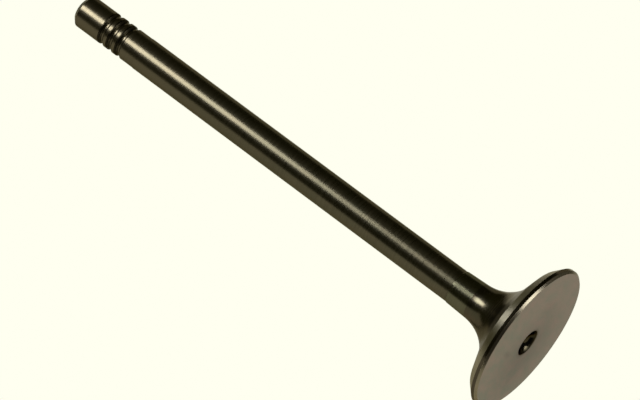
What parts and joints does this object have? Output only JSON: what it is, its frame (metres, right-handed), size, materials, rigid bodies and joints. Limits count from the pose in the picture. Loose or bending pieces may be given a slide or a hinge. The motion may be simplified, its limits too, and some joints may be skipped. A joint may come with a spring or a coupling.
{
  "type": "engine valve",
  "caption": "Poppet valve: a long ground stem with ring grooves for the keepers, sweeping through a trumpet neck into a flat round head with a bevelled seat.",
  "frame": {"origin": "centre of the flat combustion face, on which the valve stands", "axes": "+Z along the stem, from the head to the tip; X and Y are free, because the valve is round"},
  "size_m": [0.031, 0.031, 0.1138],
  "materials": {
    "valve_steel": "dark ground valve steel: satin stem with a long streak of light, finely turned grey face, oil-dark margin and neck"
  },
  "bodies": {
    "root": {"valve": "valve_steel"}
  },
  "joints": []
}
